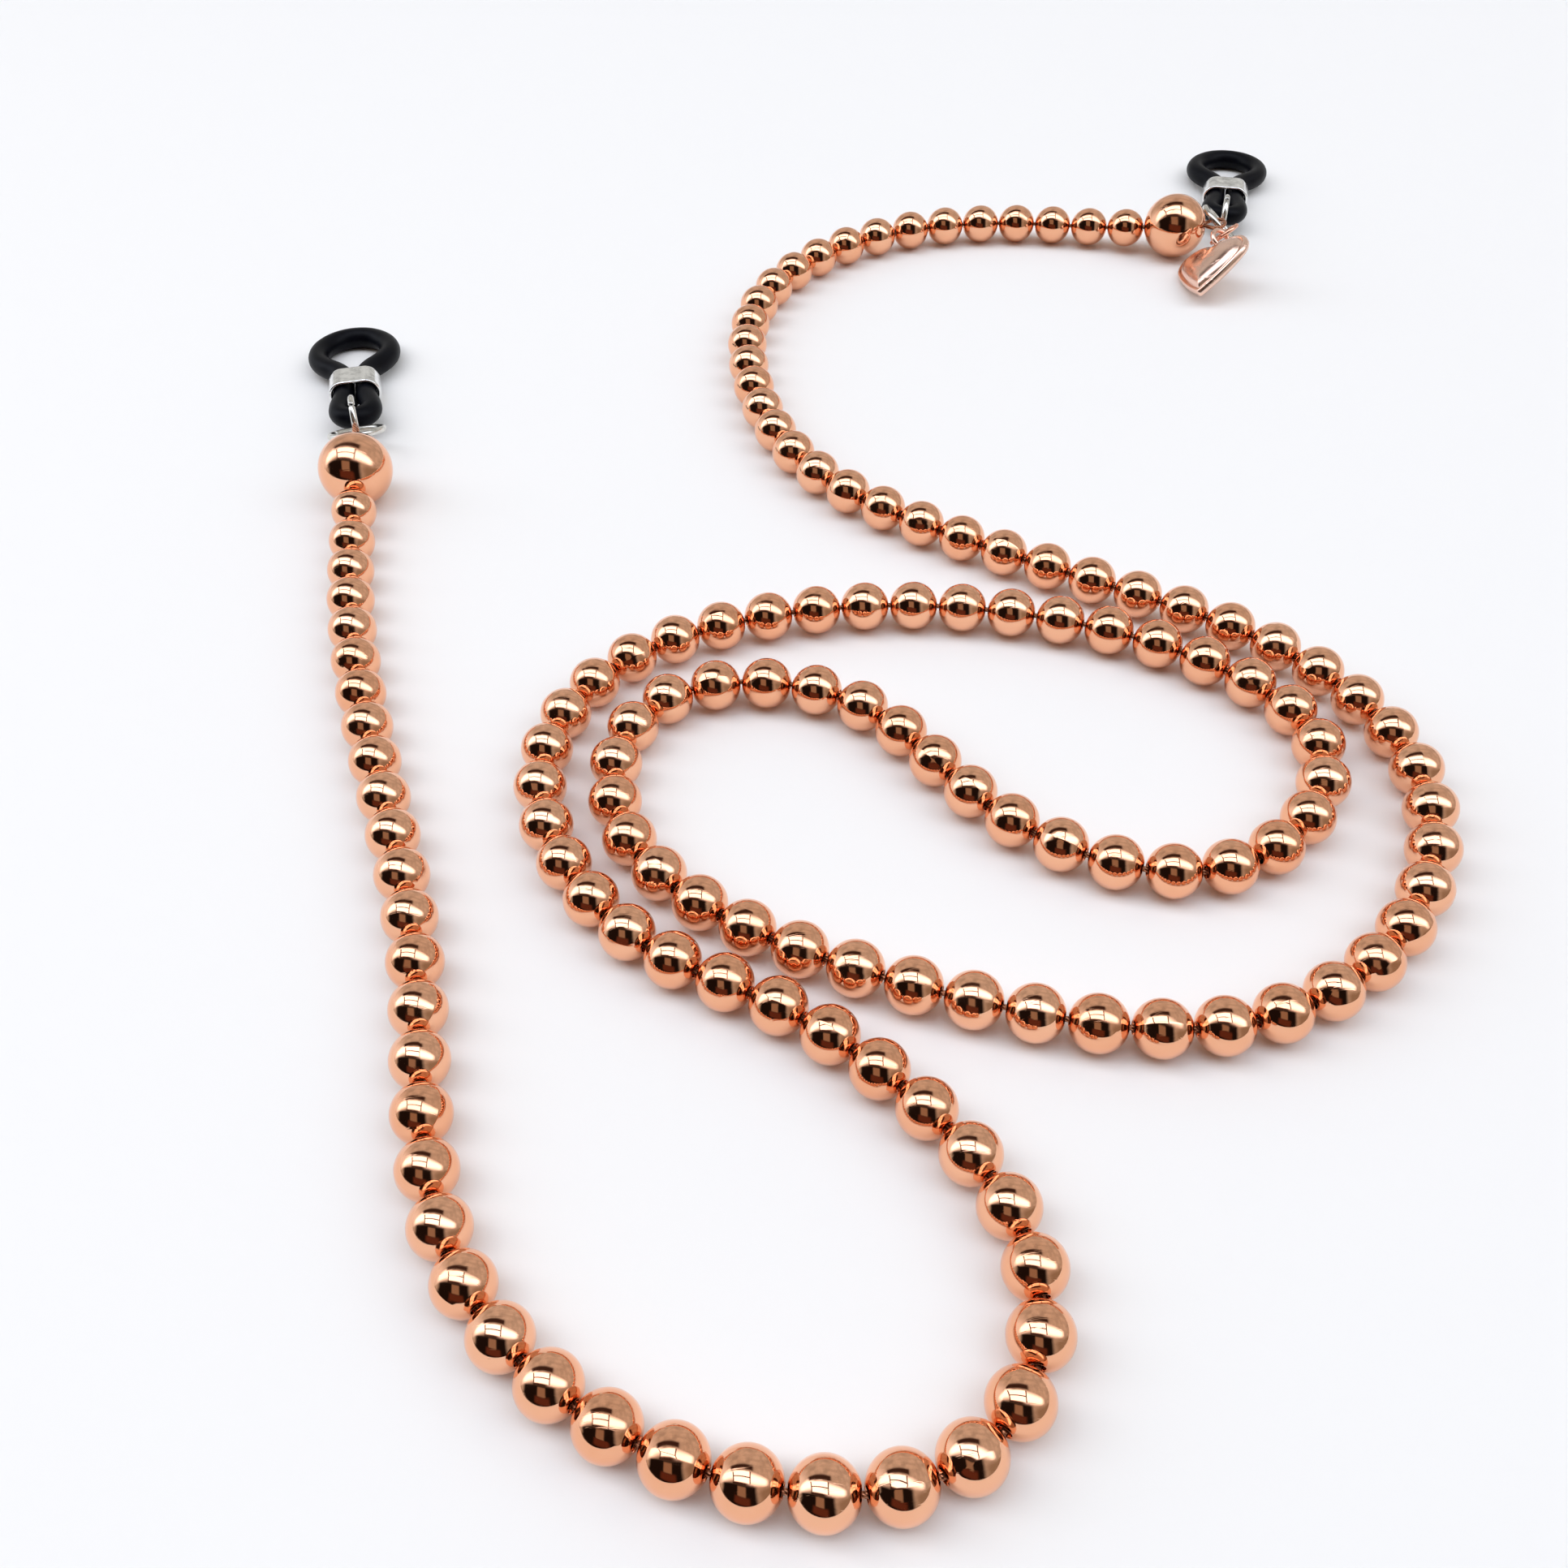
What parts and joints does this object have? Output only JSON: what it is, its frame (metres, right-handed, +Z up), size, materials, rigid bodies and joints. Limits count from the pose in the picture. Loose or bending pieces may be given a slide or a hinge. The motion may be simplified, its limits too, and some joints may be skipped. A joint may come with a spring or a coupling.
{
  "type": "eyeglass retainer strap",
  "caption": "Beaded eyeglass retainer strap: polished round beads on a wire, with jump rings, a sleeved rubber temple loop at each end and a small heart charm.",
  "frame": {"origin": "the middle of the laid-out strap, on the surface it lies on", "axes": "+Z up, +Y away from the coiled strand towards the two rubber loops, +X towards the end with the charm"},
  "size_m": [0.1345, 0.2006, 0.0084],
  "materials": {
    "bead_plate": "mirror-polished rose gold plate",
    "end_bead_plate": "mirror-polished rose gold plate",
    "beading_wire": "nylon-coated stranded steel",
    "crimp_metal": "plated, pressed",
    "ring_metal": "polished nickel plate",
    "rubber_cord": "smooth matt black",
    "sleeve_metal": "polished nickel plate",
    "charm_ring_plate": "polished rose gold plate",
    "heart_plate": "polished pale rose gold plate"
  },
  "bodies": {
    "coil": {"beads_coil_01": "bead_plate", "beads_coil_02": "bead_plate", "beads_coil_03": "bead_plate", "beads_coil_04": "bead_plate", "beads_coil_05": "bead_plate", "beads_coil_06": "bead_plate", "beads_coil_07": "bead_plate", "beads_coil_08": "bead_plate", "beads_coil_09": "bead_plate", "beads_coil_10": "bead_plate", "beads_coil_11": "bead_plate", "beads_coil_12": "bead_plate", "beads_coil_13": "bead_plate", "beads_coil_14": "bead_plate", "beads_coil_15": "bead_plate", "beads_coil_16": "bead_plate", "beads_coil_17": "bead_plate", "beads_coil_18": "bead_plate", "beads_coil_19": "bead_plate", "wire_coil": "beading_wire"},
    "left_base": {"beads_left_base": "bead_plate", "wire_left_base": "beading_wire"},
    "left_mid": {"beads_left_mid": "bead_plate", "wire_left_mid": "beading_wire"},
    "left_tip": {"beads_left_tip": "bead_plate", "wire_left_tip": "beading_wire", "end_bead_left": "end_bead_plate", "crimp_left": "crimp_metal"},
    "left_strand_ring": {"strand_ring_left": "ring_metal"},
    "left_loop_ring": {"loop_ring_left": "ring_metal"},
    "left_temple_loop": {"temple_loop_left": "rubber_cord"},
    "left_sleeve": {"loop_sleeve_left": "sleeve_metal"},
    "right_base": {"beads_right_base": "bead_plate", "wire_right_base": "beading_wire"},
    "right_mid": {"beads_right_mid": "bead_plate", "wire_right_mid": "beading_wire"},
    "right_tip": {"beads_right_tip": "bead_plate", "wire_right_tip": "beading_wire", "end_bead_right": "end_bead_plate", "crimp_right": "crimp_metal"},
    "right_strand_ring": {"strand_ring_right": "ring_metal"},
    "right_loop_ring": {"loop_ring_right": "ring_metal"},
    "right_temple_loop": {"temple_loop_right": "rubber_cord"},
    "right_sleeve": {"loop_sleeve_right": "sleeve_metal"},
    "charm_ring": {"charm_ring": "charm_ring_plate"},
    "heart_charm": {"heart_charm": "heart_plate"}
  },
  "joints": [
    {"name": "left_base_bend", "type": "hinge", "parent": "coil", "child": "left_base", "pos_m": [-0.02592, -0.0883, 0.0025], "axis": [0, 0, 1], "range_deg": [-5, 12]},
    {"name": "left_mid_bend", "type": "hinge", "parent": "left_base", "child": "left_mid", "pos_m": [-0.03808, -0.05558, 0.0025], "axis": [0, 0, 1], "range_deg": [-8, 14]},
    {"name": "left_tip_bend", "type": "hinge", "parent": "left_mid", "child": "left_tip", "pos_m": [-0.04821, -0.02138, 0.0025], "axis": [0, 0, 1], "range_deg": [-10, 14]},
    {"name": "right_base_bend", "type": "hinge", "parent": "coil", "child": "right_base", "pos_m": [-0.00055, 0.01529, 0.0025], "axis": [0, 0, 1], "range_deg": [-12, 12]},
    {"name": "right_mid_bend", "type": "hinge", "parent": "right_base", "child": "right_mid", "pos_m": [-0.01007, 0.04876, 0.0025], "axis": [0, 0, 1], "range_deg": [-14, 14]},
    {"name": "right_tip_bend", "type": "hinge", "parent": "right_mid", "child": "right_tip", "pos_m": [0.01044, 0.07541, 0.0025], "axis": [0, 0, 1], "range_deg": [-14, 14]},
    {"name": "left_strand_ring_swing", "type": "hinge", "parent": "left_tip", "child": "left_strand_ring", "pos_m": [-0.05602, 0.02334, 0.00512], "axis": [0.9659, 0.2588, 0], "range_deg": [-8, 50]},
    {"name": "left_loop_ring_swing", "type": "hinge", "parent": "left_strand_ring", "child": "left_loop_ring", "pos_m": [-0.05746, 0.02872, 0.0024], "axis": [0.9659, 0.2588, 0], "range_deg": [-20, 35]},
    {"name": "left_temple_loop_swing", "type": "hinge", "parent": "left_loop_ring", "child": "left_temple_loop", "pos_m": [-0.05789, 0.03068, 0.0028], "axis": [0.9816, 0.1908, 0], "range_deg": [-20, 45]},
    {"name": "left_sleeve_slide", "type": "slide", "parent": "left_temple_loop", "child": "left_sleeve", "axis": [-0.1904, 0.9794, -0.0679], "range_m": [-0.0008, 0.0008]},
    {"name": "right_strand_ring_swing", "type": "hinge", "parent": "right_tip", "child": "right_strand_ring", "pos_m": [0.05472, 0.0706, 0.00512], "axis": [0.6221, -0.5662, -0.5407], "range_deg": [-5, 30]},
    {"name": "right_loop_ring_swing", "type": "hinge", "parent": "right_strand_ring", "child": "right_loop_ring", "pos_m": [0.05698, 0.07568, 0.0024], "axis": [0.6221, -0.5662, -0.5407], "range_deg": [-20, 35]},
    {"name": "right_temple_loop_swing", "type": "hinge", "parent": "right_loop_ring", "child": "right_temple_loop", "pos_m": [0.05751, 0.07761, 0.0028], "axis": [0.9703, -0.2419, 0], "range_deg": [-20, 45]},
    {"name": "right_sleeve_slide", "type": "slide", "parent": "right_temple_loop", "child": "right_sleeve", "axis": [0.2414, 0.9681, -0.0679], "range_m": [-0.0008, 0.0008]},
    {"name": "charm_ring_swing", "type": "hinge", "parent": "right_strand_ring", "child": "charm_ring", "pos_m": [0.05591, 0.07005, 0.00403], "axis": [0.7212, -0.0452, -0.6912], "range_deg": [-30, 15]},
    {"name": "heart_swing", "type": "hinge", "parent": "charm_ring", "child": "heart_charm", "pos_m": [0.05473, 0.06751, 0.00478], "axis": [0.7182, -0.133, 0.683], "range_deg": [-30, 20]}
  ]
}
